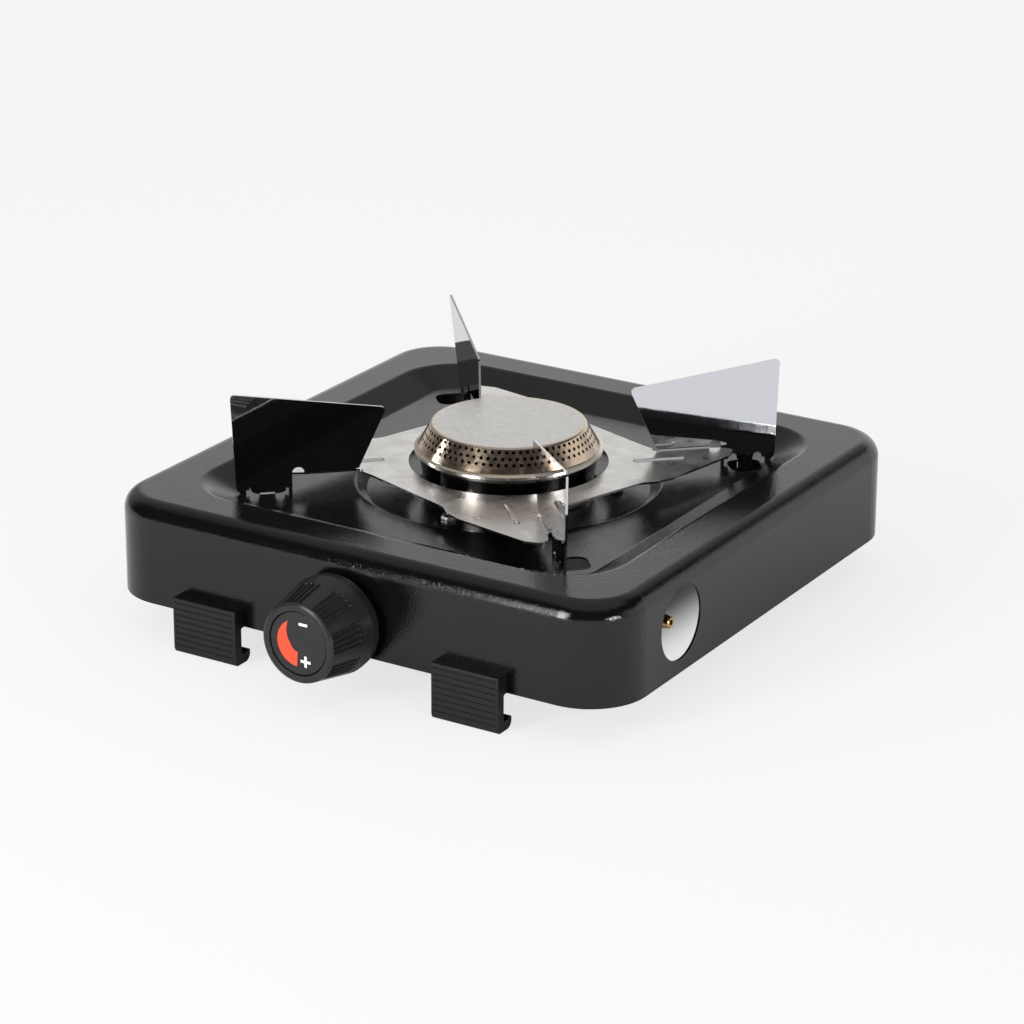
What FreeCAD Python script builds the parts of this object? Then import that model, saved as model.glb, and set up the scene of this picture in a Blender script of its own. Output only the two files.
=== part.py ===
import FreeCAD, Part
import math
import os
from FreeCAD import Placement, Rotation, Vector

# Single-burner gas hob: an enamelled casing with the burner in the middle, a bent sheet pan support over it,
# a tap with its knob at the front, a pipe to a hose tail at the right and four clip-on feet.
# Every piece is drawn about the burner's axis with z = 0 at the casing's bottom edge. It is then moved so
# that the origin is the middle of the whole hob at the level it stands on. The front faces -Y.
SHIFT_BACK = 12.9
SHIFT_UP = 17.2

# Casing: one pressed sheet, open underneath
CASING_HALF = 135.0
CASING_HEIGHT = 47.4
CASING_CORNER = 28.0
CASING_EDGE = 8.5
SHEET = 1.0

# Recess pressed into the top of the casing, and the round well in its floor
RECESS_HALF = 110.0
RECESS_CORNER = 30.0
RECESS_SLOPE = 16.0
RECESS_FLOOR_Z = 40.0
RECESS_RIM_ROUND = 5.0
RECESS_FLOOR_ROUND = 4.0
WELL_R = 71.5
WELL_FLOOR_R = 66.0
WELL_FLOOR_Z = 35.0
WELL_ROUND = 3.0
BURNER_HOLE_R = 43.6

# Holes in the recess floor beside the feet of the pan support, at each corner
FOOT_HOLE_INNER = 104.0
FOOT_HOLE_OUTER = 120.0
FOOT_HOLE_NEAR = -2.0
FOOT_HOLE_FAR = 14.0
FOOT_HOLE_ROUND = 5.0

# Tap axis, and the holes for the tap and the hose
TAP_X = -3.5
TAP_Z = 15.3
TAP_HOLE_R = 8.0
TAP_SCREW_SPREAD = 12.0
HOSE_HOLE_Y = -76.5
HOSE_HOLE_Z = 23.9
HOSE_HOLE_R = 17.4

# Screws, all of one size
SCREW_R = 2.0
SCREW_HOLE_R = 2.2
SCREW_HEAD_R = 3.6
SCREW_HEAD_HEIGHT = 2.2
SCREW_HEAD_ROUND = 1.4
SCREW_SLOT = 1.0
NUT_ACROSS = 7.0
NUT_HEIGHT = 3.0

# Pan support: plate, folds and fins of one sheet. Each fin leans by its own few degrees away from its wing.
SUPPORT_TURN = -2.2
PLATE_TOP = 48.2
PLATE_HOLE_R = 46.5
BEND_R = 1.0
FOLD_START = 70.5
FOLD_END = 95.8
FIN_INNER_TOP = (57.4, 78.8)
FIN_OUTER_TOP = (129.6, 89.4)
FIN_OUTER_FOOT = (127.3, 42.5)
FIN_FOOT_END = 124.4
FIN_LEANS = (0.0, 3.5, 5.8, 3.0)
FOLD_RELIEF_R = 2.0
FOLD_NOTCH_END = 101.4
FOLD_NOTCH_TOP = 51.7
FOOT_NOTCHES = ((105.0, 109.2), (117.0, 121.2))
FOOT_NOTCH_TOP = 44.4
FIN_FOOT_Z = 41.8
TOE_LENGTH = 1.6
TONGUE = (109.6, 116.6)
TONGUE_Z = 36.5
BEAD_START = 58.0
BEAD_END = 80.0
BEAD_OFFSET = -12.0
BEAD_R = 2.2
BEAD_SINK = 1.4

# Burner: cap on a bowl, fed by a mixing tube from the front
CAP_TOP_Z = 67.0
CAP_TOP_R = 36.0
CAP_CONE_R = 42.3
CAP_CONE_Z = 56.2
CAP_RIM_R = 43.9
CAP_RIM_HEIGHT = 1.5
CAP_SHEET = 1.0
CAP_LIP_DEPTH = 4.0
CAP_LIP_GAP = 1.6
PORT_R = 0.85
PORTS_IN_ROW = 72
PORT_ROWS = (0.16, 0.41, 0.64)
BOWL_R = 42.0
BOWL_WAIST_R = 38.8
BOWL_FLOOR_R = 34.0
BOWL_TOP = 54.0
BOWL_BOTTOM = 27.0
BOWL_WALL = 1.2
BOWL_FLANGE_R = 56.0
BURNER_SCREW_CIRCLE = 50.0
BURNER_SCREWS = 3
BURNER_SCREW_TURN = 0.5
BURNER_SCREW_LENGTH = 8.0
TUBE_R = 7.5
TUBE_WALL = 0.8
TUBE_BEND = 10.0
TUBE_MOUTH_Y = -80.0
AIR_SLOT = (6.0, 16.0)
AIR_SLOT_HALF = 3.0
HANGER_HALF = 11.0
HANGER_FLANGE = 11.0

# Tap, from the front skirt backwards
COVER_THICK = 2.0
EAR_REACH = 17.0
EAR_HALF = 6.0
EAR_ROUND = 4.0
BODY_EAR_THICK = 3.0
TAP_BARREL_R = 9.0
TAP_BORE_R = 5.0
TAP_BACK_Y = -104.0
TAP_NOSE_R = 6.0
TAP_NOSE = 5.0
TAP_SCREW_LENGTH = 7.0
GAS_WAY_R = 1.5
JET_R = 3.0
JET_HEX = 10.0
JET_HEX_HEIGHT = 4.0
JET_TIP = 7.0
JET_BORE_R = 0.4
PLUG_R = 4.95
PLUG_FRONT_Y = -124.5
PLUG_BACK_Y = -109.0
PLUG_SLOT_DEPTH = 8.0
PLUG_WAY_DEPTH = 5.0
TONGUE_THICK = 2.0
TONGUE_HALF = 2.6
TONGUE_IN_SLOT = 4.5
SPINDLE_R = 3.0
SPINDLE_IN_KNOB = 20.0
FLAT_DEPTH = 1.2
FLAT_LENGTH = 14.0
COLLAR_THICK = 1.5
SPRING_WIRE_R = 0.35
SPRING_START = 2.2
SPRING_PITCH = 1.25
SPRING_COILS = 4
RUNNING_FIT = 0.05
INLET_Y = -115.0
INLET_END_X = 12.0

# Knob: tapered, hollow from behind, with groups of grip grooves
KNOB_BASE_Y = -138.0
KNOB_LENGTH = 30.0
KNOB_BASE_R = 23.1
KNOB_BASE_BAND = 5.0
KNOB_FACE_R = 18.1
KNOB_DISC_R = 14.6
KNOB_DISC_DEPTH = 0.6
KNOB_DISC_THICK = 1.5
KNOB_WALL = 2.2
KNOB_HUB_R = 6.0
KNOB_HUB_START = 3.0
CLIP_HALF = 2.5
CLIP_THICK = 0.5
CLIP_SPAN = (8.0, 19.0)
GRIP_GROUPS = 8
GRIP_GROOVES = 4
GRIP_TURN = 10.0
GRIP_GROOVE_ANGLE = 7.2
GRIP_GROOVE_R = 1.15
GRIP_START = 7.5
GRIP_LENGTH = 16.5

# Gas pipe and hose tail
PIPE_R = 3.0
PIPE_BORE_R = 2.0
PIPE_BEND = 15.0
PIPE_BEND_X = (45.0, 58.0)
PIPE_NUT = 11.0
PIPE_NUT_HEIGHT = 6.0
TAIL_Y = -76.5
TAIL_Z = 22.5
TAIL_START = 8.0
TAIL_TIP_X = 130.0
TAIL_SHANK_R = 4.0
TAIL_R = 2.6
TAIL_BARB_R = 3.4
TAIL_BARB_LAND = 1.2
TAIL_BARBS = (20.0, 33.4)
TAIL_BORE_R = 1.3
TAIL_HEX_HEIGHT = 5.0
TAIL_NUT = 12.0
TAIL_NUT_HEIGHT = 4.0
BRACKET_X = 98.0
BRACKET_THICK = 2.0
BRACKET_HALF = 8.0
BRACKET_FLANGE = 10.0

# Clip-on feet, placed evenly on both sides of the tap's axis
FOOT_X = 69.0
FOOT_WIDTH = 34.0
FOOT_DEPTH = 7.2
FOOT_PLATE = 4.7
FOOT_TOP = 9.2
FOOT_HOOK_TOP = -11.7
FOOT_HOOK_BACK = 3.9
FOOT_RIBS = 8
FOOT_RIB_PITCH = 2.9
FOOT_RIB_DEPTH = 0.4
FOOT_RIB_HALF = 0.4
FOOT_RIB_MARGIN = 1.2
FOOT_SCREW_Z = 4.6
FOOT_SCREW_LENGTH = 5.5

X = Vector(1, 0, 0)
Y = Vector(0, 1, 0)
Z = Vector(0, 0, 1)


def outline(corners):
    """Closed wire in the XY plane through (x, y, radius) corners, each rounded to its radius."""
    arcs = []
    for index, (x, y, radius) in enumerate(corners):
        here = Vector(x, y, 0)
        before = (Vector(*corners[index - 1][:2], 0) - here).normalize()
        after = (Vector(*corners[(index + 1) % len(corners)][:2], 0) - here).normalize()
        half = before.getAngle(after) / 2
        start = here + before * (radius / math.tan(half))
        end = here + after * (radius / math.tan(half))
        inward = (before + after).normalize() if radius else Vector()
        middle = here + inward * (radius / math.sin(half) - radius)
        arcs.append((start, middle, end, radius))
    edges = []
    for index, (start, middle, end, radius) in enumerate(arcs):
        if radius:
            edges.append(Part.Arc(start, middle, end).toShape())
        following = arcs[(index + 1) % len(arcs)][0]
        if (following - end).Length > 1e-6:
            edges.append(Part.LineSegment(end, following).toShape())
    return Part.Wire(edges)


def slab(corners, z, thickness):
    """Flat solid with a rounded outline, from height z upwards."""
    solid = Part.Face(outline(corners)).extrude(Z * thickness)
    solid.translate(Z * z)
    return solid


def square(half, corner):
    """Corners of a rounded square about the origin."""
    return [(half, half, corner), (-half, half, corner), (-half, -half, corner), (half, -half, corner)]


def turned(profile):
    """Solid turned about Z from (radius, height, rounding) corners."""
    face = Part.Face(outline(profile))
    face.rotate(Vector(), X, 90)
    return face.revolve(Vector(), Z, 360)


def along(shape, start, direction):
    """Shape drawn about +Z, moved to start and turned to point along direction."""
    shape.Placement = Placement(start, Rotation(Z, direction)).multiply(shape.Placement)
    return shape


def rod(radius, start, direction, length):
    return Part.makeCylinder(radius, length, start, direction)


def hexagon(across, start, direction, length):
    """Hexagonal bar, across its flats."""
    reach = across / math.sqrt(3)
    points = [(reach * math.cos(math.radians(60 * k)), reach * math.sin(math.radians(60 * k)), 0)
              for k in range(6)]
    return along(slab(points, 0, length), start, direction)


def block(x, y, z):
    """Box from three (low, high) pairs."""
    return Part.makeBox(x[1] - x[0], y[1] - y[0], z[1] - z[0], Vector(x[0], y[0], z[0]))


def screw(start, direction, length):
    """Pan-head screw: the head stands on start, and the shank runs length along direction."""
    head = turned([
        (0, 0, 0),
        (SCREW_HEAD_R, 0, 0),
        (SCREW_HEAD_R, SCREW_HEAD_HEIGHT, SCREW_HEAD_ROUND),
        (0, SCREW_HEAD_HEIGHT, 0),
    ])
    across = (-SCREW_HEAD_R, SCREW_HEAD_R)
    deep = (SCREW_HEAD_HEIGHT - SCREW_SLOT, SCREW_HEAD_HEIGHT + SCREW_SLOT)
    slot = block(across, (-SCREW_SLOT / 2, SCREW_SLOT / 2), deep)
    head = along(head.cut(slot), start, -direction)
    return head.fuse(rod(SCREW_R, start, direction, length)).removeSplitter()


def edges_at(solid, z, nearest, farthest):
    """Edges that lie flat at height z and reach out from the axis to between nearest and farthest."""
    found = []
    for edge in solid.Edges:
        box = edge.BoundBox
        flat = abs(box.ZMin - z) < 1e-3 and abs(box.ZMax - z) < 1e-3
        reach = max(abs(box.XMin), abs(box.XMax), abs(box.YMin), abs(box.YMax))
        if flat and nearest < reach < farthest:
            found.append(edge)
    return found


def casing_form(inset):
    """Solid form of the casing, with every face moved inwards by the inset."""
    height = CASING_HEIGHT - inset
    form = slab(square(CASING_HALF - inset, CASING_CORNER - inset), 0, height)
    form = form.makeFillet(CASING_EDGE - inset, edges_at(form, height, RECESS_HALF, 2 * CASING_HALF))
    depth = CASING_HEIGHT - RECESS_FLOOR_Z
    widen = inset * math.tan(math.atan2(depth, RECESS_SLOPE) / 2)
    levels = []
    for half, corner, z in (
        (RECESS_HALF, RECESS_CORNER, height),
        (RECESS_HALF - RECESS_SLOPE, RECESS_CORNER - RECESS_SLOPE, height - depth),
    ):
        wire = outline(square(half + widen, corner + widen))
        wire.translate(Z * z)
        levels.append(wire)
    form = form.cut(Part.makeLoft(levels, True, True))
    well_depth = RECESS_FLOOR_Z - WELL_FLOOR_Z
    widen = inset * math.tan(math.atan2(well_depth, WELL_R - WELL_FLOOR_R) / 2)
    well = Part.makeCone(WELL_FLOOR_R + widen, WELL_R + widen, well_depth, Z * (WELL_FLOOR_Z - inset))
    form = form.cut(well)
    floor = RECESS_FLOOR_Z - inset
    past_well = WELL_R + 2 * SHEET
    rim = edges_at(form, height, past_well, RECESS_HALF + 2 * SHEET)
    form = form.makeFillet(RECESS_RIM_ROUND - inset, rim)
    form = form.makeFillet(RECESS_FLOOR_ROUND + inset, edges_at(form, floor, past_well, RECESS_HALF))
    return form.makeFillet(WELL_ROUND - inset, edges_at(form, floor, 0, past_well))


def foot_hole(corner):
    """Cutter for the hole that takes one tongue of the pan support, on alternate sides of the tongues."""
    mirror = 1 if corner % 2 == 0 else -1
    sides = sorted((FOOT_HOLE_NEAR * mirror, FOOT_HOLE_FAR * mirror))
    points = [
        (FOOT_HOLE_INNER, sides[0], FOOT_HOLE_ROUND),
        (FOOT_HOLE_OUTER, sides[0], FOOT_HOLE_ROUND),
        (FOOT_HOLE_OUTER, sides[1], FOOT_HOLE_ROUND),
        (FOOT_HOLE_INNER, sides[1], FOOT_HOLE_ROUND),
    ]
    hole = slab(points, WELL_FLOOR_Z, CASING_HEIGHT - WELL_FLOOR_Z)
    hole.rotate(Vector(), Z, -45 + SUPPORT_TURN + 90 * corner)
    return hole


def make_casing():
    through = 4 * SHEET
    casing = casing_form(0).cut(casing_form(SHEET))
    cutters = [rod(BURNER_HOLE_R, Z * (WELL_FLOOR_Z - through), Z, 2 * through)]
    cutters += [foot_hole(corner) for corner in range(4)]
    front = Vector(TAP_X, -CASING_HALF - through, TAP_Z)
    cutters.append(rod(TAP_HOLE_R, front, Y, 2 * through))
    for side in (-1, 1):
        cutters.append(rod(SCREW_HOLE_R, front + X * side * TAP_SCREW_SPREAD, Y, 2 * through))
    cutters.append(rod(HOSE_HOLE_R, Vector(CASING_HALF - through, HOSE_HOLE_Y, HOSE_HOLE_Z), X, 2 * through))
    for x, face in foot_places():
        start = Vector(x, face * (CASING_HALF - through), FOOT_SCREW_Z)
        cutters.append(rod(SCREW_HOLE_R, start, Y * face, 2 * through))
    for place in burner_screw_places():
        cutters.append(rod(SCREW_HOLE_R, place + Z * (WELL_FLOOR_Z - through), Z, 2 * through))
    return casing.cut(cutters)


def plate_quarter():
    """Outline corners of a quarter of the plate, for a fin along +X with its wing on the -Y side."""
    return [
        (SHEET / 2, -FOLD_START, 0),
        (7.5, -65.8, 4),
        (53.5, -40.8, 8),
        (61.5, -40.6, 5),
        (70.0, -36.8, 6),
        (102.0, -13.4, 6),
        (106.6, -5.0, 3),
        (101.5, -2.2, 2),
        (FOLD_END, -SHEET / 2 - BEND_R, 0),
        (FOLD_START, -SHEET / 2 - BEND_R, 0),
    ]


def turn_points(points, angle):
    c = math.cos(math.radians(angle))
    s = math.sin(math.radians(angle))
    return [(x * c - y * s, x * s + y * c, radius) for x, y, radius in points]


def fin_sheet(bottom):
    """Flat fin along +X, before it leans: its foot has a tongue and two toes, which are trimmed later."""
    notch_round = (FOLD_NOTCH_END - FOLD_END) / 2 - 0.1
    below = RECESS_FLOOR_Z - SHEET
    profile = [
        (FOLD_START, bottom, 0),
        (FOLD_END, bottom, 0),
        (FOLD_END, FOLD_NOTCH_TOP, notch_round),
        (FOLD_NOTCH_END, FOLD_NOTCH_TOP, notch_round),
        (FOLD_NOTCH_END, below, 0),
        (FOLD_NOTCH_END + TOE_LENGTH, below, 0),
        (FOLD_NOTCH_END + TOE_LENGTH, FIN_FOOT_Z, 0),
        (TONGUE[0], FIN_FOOT_Z, 0),
        (TONGUE[0], TONGUE_Z, 0.8),
        (TONGUE[1], TONGUE_Z, 0.8),
        (TONGUE[1], FIN_FOOT_Z, 0),
        (FIN_FOOT_END - TOE_LENGTH, FIN_FOOT_Z, 0),
        (FIN_FOOT_END - TOE_LENGTH, below, 0),
        (FIN_FOOT_END, below, 0),
        (*FIN_OUTER_FOOT, 3),
        (*FIN_OUTER_TOP, 2),
        (*FIN_INNER_TOP, 2),
    ]
    sheet = Part.Face(outline(profile)).extrude(Z * SHEET)
    for start, end in FOOT_NOTCHES:
        radius = (end - start) / 2 - 0.1
        corners = [(start, TONGUE_Z, 0), (end, TONGUE_Z, 0), (end, FOOT_NOTCH_TOP, radius),
                   (start, FOOT_NOTCH_TOP, radius)]
        sheet = sheet.cut(slab(corners, 0, SHEET))
    sheet.rotate(Vector(), X, 90)
    sheet.translate(Y * SHEET / 2)
    return sheet


def fin(lean):
    """Upright fin along +X with the fold at its foot, leaning by some degrees towards +Y."""
    bottom = PLATE_TOP + BEND_R
    centre = Vector(FOLD_START, -SHEET / 2 - BEND_R, bottom)
    length = FOLD_END - FOLD_START
    bend = rod(BEND_R + SHEET, centre, X, length).cut(rod(BEND_R, centre, X, length))
    outside = (centre.y, centre.y + 2 * (BEND_R + SHEET))
    below = block((FOLD_START, FOLD_END), outside, (bottom - 2 * (BEND_R + SHEET), bottom))
    leaning = below.copy()
    leaning.rotate(centre, X, -lean)
    sheet = fin_sheet(bottom)
    sheet.rotate(centre, X, -lean)
    upright = sheet.fuse(bend.common(below).common(leaning))
    under_floor = (0, RECESS_FLOOR_Z)
    thick = (-5 * SHEET, 5 * SHEET)
    return upright.cut([
        block((FOLD_NOTCH_END - SHEET, TONGUE[0]), thick, under_floor),
        block((TONGUE[1], FIN_OUTER_TOP[0]), thick, under_floor),
    ])


def bead():
    """Stiffening bead pressed up into a wing, as its outer form and the hollow under it."""
    start = Vector(BEAD_START, BEAD_OFFSET, PLATE_TOP - BEAD_SINK)
    length = BEAD_END - BEAD_START
    forms = []
    for radius in (BEAD_R, BEAD_R - SHEET):
        form = rod(radius, start, X, length)
        form = form.fuse([Part.makeSphere(radius, start), Part.makeSphere(radius, start + X * length)])
        forms.append(form)
    above = block((0, 2 * BEAD_END), (-BEAD_END, 0), (PLATE_TOP - SHEET, PLATE_TOP + BEAD_R))
    return forms[0].common(above), forms[1]


def make_pan_support():
    points = []
    fins = []
    hollows = []
    for quarter, lean in enumerate(FIN_LEANS):
        angle = 90 * quarter
        points += turn_points(plate_quarter(), angle)
        upright = fin(lean)
        outer, hollow = bead()
        for shape in (upright, outer, hollow):
            shape.rotate(Vector(), Z, angle)
        fins += [upright, outer]
        relief = rod(FOLD_RELIEF_R, Vector(FOLD_START, SHEET, PLATE_TOP - 2 * SHEET), Z, 3 * SHEET)
        relief.rotate(Vector(), Z, angle)
        hollows += [hollow, relief]
    plate = slab(points, PLATE_TOP - SHEET, SHEET)
    hollows.append(rod(PLATE_HOLE_R, Z * (PLATE_TOP - 2 * SHEET), Z, 3 * SHEET))
    support = plate.fuse(fins).cut(hollows).removeSplitter()
    support.rotate(Vector(), Z, -45 + SUPPORT_TURN)
    return support


def make_burner_cap():
    lip_outer = BOWL_R - BOWL_WALL - CAP_LIP_GAP
    lip_end = BOWL_TOP - CAP_LIP_DEPTH
    profile = [
        (0, CAP_TOP_Z, 0),
        (CAP_TOP_R, CAP_TOP_Z, 1.5),
        (CAP_CONE_R, CAP_CONE_Z, 1.0),
        (CAP_RIM_R, BOWL_TOP + CAP_RIM_HEIGHT, 0.3),
        (CAP_RIM_R, BOWL_TOP, 0.3),
        (lip_outer, BOWL_TOP, 0),
        (lip_outer, lip_end, 0),
        (lip_outer - CAP_SHEET, lip_end, 0),
        (lip_outer - CAP_SHEET, BOWL_TOP + CAP_SHEET, 0),
        (CAP_TOP_R - 0.8, CAP_TOP_Z - CAP_SHEET, 0.5),
        (0, CAP_TOP_Z - CAP_SHEET, 0),
    ]
    cap = turned(profile)
    run = Vector(CAP_CONE_R - CAP_TOP_R, 0, CAP_CONE_Z - CAP_TOP_Z)
    outward = Vector(-run.z, 0, run.x).normalize()
    reach = 4 * CAP_SHEET
    ports = []
    for row, share in enumerate(PORT_ROWS):
        middle = Vector(CAP_TOP_R, 0, CAP_TOP_Z) + run * share
        for index in range(PORTS_IN_ROW):
            angle = 360 / PORTS_IN_ROW * (index + 0.5 * (row % 2))
            port = rod(PORT_R, middle - outward * reach, outward, 2 * reach)
            port.rotate(Vector(), Z, angle)
            ports.append(port)
    return cap.cut(ports)


def burner_screw_places():
    """Places of the burner's screws about the axis, at height 0."""
    step = 2 * math.pi / BURNER_SCREWS
    angles = [k * step + BURNER_SCREW_TURN for k in range(BURNER_SCREWS)]
    return [Vector(math.cos(angle), math.sin(angle), 0) * BURNER_SCREW_CIRCLE for angle in angles]


def make_burner_bowl():
    """Round bowl that narrows to its flange, with a neck for the mixing tube."""
    flange_top = WELL_FLOOR_Z - SHEET
    neck_r = TUBE_R + BOWL_WALL
    profile = [
        (BOWL_R, BOWL_TOP, 0),
        (BOWL_WAIST_R, flange_top, 1.5),
        (BOWL_FLANGE_R, flange_top, 0),
        (BOWL_FLANGE_R, flange_top - BOWL_WALL, 0),
        (BOWL_WAIST_R, flange_top - BOWL_WALL, 1.5),
        (BOWL_FLOOR_R, BOWL_BOTTOM, 3),
        (neck_r, BOWL_BOTTOM, 0),
        (neck_r, BOWL_BOTTOM - BOWL_WALL, 0),
        (TUBE_R, BOWL_BOTTOM - BOWL_WALL, 0),
        (TUBE_R, BOWL_BOTTOM + BOWL_WALL, 0),
        (BOWL_FLOOR_R - BOWL_WALL, BOWL_BOTTOM + BOWL_WALL, 3),
        (BOWL_WAIST_R - BOWL_WALL, flange_top - BOWL_WALL, 1.5),
        (BOWL_R - BOWL_WALL, BOWL_TOP, 0),
    ]
    starts = [place + Z * BOWL_BOTTOM for place in burner_screw_places()]
    return turned(profile).cut([rod(SCREW_R, start, Z, WELL_FLOOR_Z - BOWL_BOTTOM) for start in starts])


def make_burner_screws():
    starts = [place + Z * WELL_FLOOR_Z for place in burner_screw_places()]
    return Part.makeCompound([screw(start, -Z, BURNER_SCREW_LENGTH) for start in starts])


def make_burner_nuts():
    nuts = []
    for place in burner_screw_places():
        top = place + Z * (WELL_FLOOR_Z - SHEET - BOWL_WALL)
        nuts.append(hexagon(NUT_ACROSS, top, -Z, NUT_HEIGHT).cut(rod(SCREW_R, top + Z, -Z, 2 * NUT_HEIGHT)))
    return Part.makeCompound(nuts)


def tube_along(points, bend, outer, bore):
    """Round tube along straight runs joined by arcs."""
    edges = []
    last = points[0]
    for before, here, after in zip(points, points[1:], points[2:]):
        back = (before - here).normalize()
        on = (after - here).normalize()
        half = back.getAngle(on) / 2
        start = here + back * (bend / math.tan(half))
        end = here + on * (bend / math.tan(half))
        middle = here + (back + on).normalize() * (bend / math.sin(half) - bend)
        edges.append(Part.LineSegment(last, start).toShape())
        edges.append(Part.Arc(start, middle, end).toShape())
        last = end
    edges.append(Part.LineSegment(last, points[-1]).toShape())
    path = Part.Wire(edges)
    direction = points[1] - points[0]
    solids = []
    for radius in (outer, bore):
        ring = Part.Wire(Part.makeCircle(radius, points[0], direction))
        solids.append(path.makePipeShell([ring], True, False))
    return solids[0].cut(solids[1])


def make_mixing_tube():
    top = Vector(0, 0, BOWL_BOTTOM + BOWL_WALL)
    elbow = Vector(0, 0, TAP_Z)
    mouth = Vector(TAP_X, TUBE_MOUTH_Y, TAP_Z)
    tube = tube_along([mouth, elbow, top], TUBE_BEND, TUBE_R, TUBE_R - TUBE_WALL)
    width = (TAP_X - 2 * TUBE_R, TAP_X + 2 * TUBE_R)
    slot_y = (TUBE_MOUTH_Y + AIR_SLOT[0], TUBE_MOUTH_Y + AIR_SLOT[1])
    return tube.cut(block(width, slot_y, (TAP_Z - AIR_SLOT_HALF, TAP_Z + AIR_SLOT_HALF)))


def make_burner_bracket():
    """Hanger welded under the recess floor, with a hole that carries the mixing tube."""
    y = TUBE_MOUTH_Y + 2
    floor = RECESS_FLOOR_Z - SHEET
    width = (TAP_X - HANGER_HALF, TAP_X + HANGER_HALF)
    back = y + BRACKET_THICK
    upright = block(width, (y, back), (TAP_Z - HANGER_HALF, floor))
    flange = block(width, (back - HANGER_FLANGE, back), (floor - BRACKET_THICK, floor))
    middle = TAP_X * (y + back) / 2 / TUBE_MOUTH_Y
    hole = rod(TUBE_R + 0.3, Vector(middle, y - 1, TAP_Z), Y, 2 * BRACKET_THICK)
    return upright.fuse(flange).cut(hole).removeSplitter()


def tap_point(y):
    return Vector(TAP_X, y, TAP_Z)


def inner_front():
    """Inner face of the front skirt."""
    return SHEET - CASING_HALF


def tap_screw_holes(front):
    """Cutters for the two tap screws through a flange whose front face is at this point."""
    starts = [front + X * side * TAP_SCREW_SPREAD - Y for side in (-1, 1)]
    return [rod(SCREW_R, start, Y, 2 * BODY_EAR_THICK) for start in starts]


def tap_ears(front, thickness):
    """Flange with an ear on each side for the tap screws."""
    corners = [(x * EAR_REACH, z * EAR_HALF, EAR_ROUND) for x, z in ((1, 1), (-1, 1), (-1, -1), (1, -1))]
    return along(slab(corners, 0, thickness), front, Y)


def make_valve_cover():
    front = tap_point(inner_front())
    cover = rod(TAP_BARREL_R, front, Y, COVER_THICK).fuse(tap_ears(front, COVER_THICK)).removeSplitter()
    spindle_hole = rod(SPINDLE_R + RUNNING_FIT, front - Y, Y, 3 * COVER_THICK)
    return cover.cut([spindle_hole, *tap_screw_holes(front)])


def make_valve_body():
    """Barrel with the plug's bore, a flange in front, a nose for the jet and an inlet at the side."""
    start = inner_front() + COVER_THICK
    front = tap_point(start)
    body = rod(TAP_BARREL_R, front, Y, TAP_BACK_Y - start)
    nose = rod(TAP_NOSE_R, tap_point(TAP_BACK_Y), Y, TAP_NOSE)
    inlet = rod(TAP_NOSE_R, tap_point(INLET_Y), X, INLET_END_X - TAP_X)
    body = body.fuse([tap_ears(front, BODY_EAR_THICK), nose, inlet]).removeSplitter()
    back = TAP_BACK_Y + TAP_NOSE
    hollows = [
        rod(TAP_BORE_R, front - Y, Y, PLUG_BACK_Y - start + 1),
        rod(GAS_WAY_R, tap_point(PLUG_BACK_Y), Y, back - PLUG_BACK_Y),
        rod(GAS_WAY_R, tap_point(INLET_Y), X, INLET_END_X - TAP_X),
        rod(PIPE_R, Vector(INLET_END_X - TAP_NOSE, INLET_Y, TAP_Z), X, 2 * TAP_NOSE),
        rod(JET_R, tap_point(TAP_BACK_Y), Y, 2 * TAP_NOSE),
    ]
    return body.cut(hollows + tap_screw_holes(front))


def make_jet():
    """Jet screwed into the nose of the tap: shank, hexagon and drilled tip."""
    back = TAP_BACK_Y + TAP_NOSE
    jet = rod(JET_R, tap_point(TAP_BACK_Y), Y, TAP_NOSE)
    jet = jet.fuse(hexagon(JET_HEX, tap_point(back), Y, JET_HEX_HEIGHT))
    profile = [(0, 0, 0), (JET_R, 0, 0), (JET_R, JET_TIP / 2, 0), (JET_R / 2, JET_TIP, 0.5), (0, JET_TIP, 0)]
    tip = along(turned(profile), tap_point(back + JET_HEX_HEIGHT), Y)
    jet = jet.fuse(tip).removeSplitter()
    gas_way = rod(GAS_WAY_R - RUNNING_FIT, tap_point(TAP_BACK_Y - 1), Y, 2 * TAP_NOSE)
    return jet.cut([gas_way, rod(JET_BORE_R, tap_point(back), Y, 2 * (JET_HEX_HEIGHT + JET_TIP))])


def make_valve_plug():
    """Plug with a slot in front for the spindle's tongue, and the way for the gas at its back and side."""
    plug = rod(PLUG_R, tap_point(PLUG_FRONT_Y), Y, PLUG_BACK_Y - PLUG_FRONT_Y)
    half = TONGUE_THICK / 2 + RUNNING_FIT
    width = (TAP_X - half, TAP_X + half)
    height = (TAP_Z - 2 * PLUG_R, TAP_Z + 2 * PLUG_R)
    slot = block(width, (PLUG_FRONT_Y - 1, PLUG_FRONT_Y + PLUG_SLOT_DEPTH), height)
    gas_way = rod(GAS_WAY_R, tap_point(PLUG_BACK_Y + 1), -Y, PLUG_WAY_DEPTH)
    side_way = rod(GAS_WAY_R, tap_point(PLUG_BACK_Y + 1 - PLUG_WAY_DEPTH), X, 2 * PLUG_R)
    return plug.cut([slot, gas_way, side_way])


def make_plug_spring():
    """Spring between the plug and the spindle's collar: closed coils joined by a short bar."""
    ring_r = PLUG_R - 1.0
    first = inner_front() + COVER_THICK + SPRING_START
    places = [tap_point(first + turn * SPRING_PITCH) for turn in range(SPRING_COILS)]
    coils = [Part.makeTorus(ring_r, SPRING_WIRE_R, place, Y) for place in places]
    link = rod(SPRING_WIRE_R, places[0] + Z * ring_r, Y, (SPRING_COILS - 1) * SPRING_PITCH)
    return coils[0].fuse(coils[1:] + [link])


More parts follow.
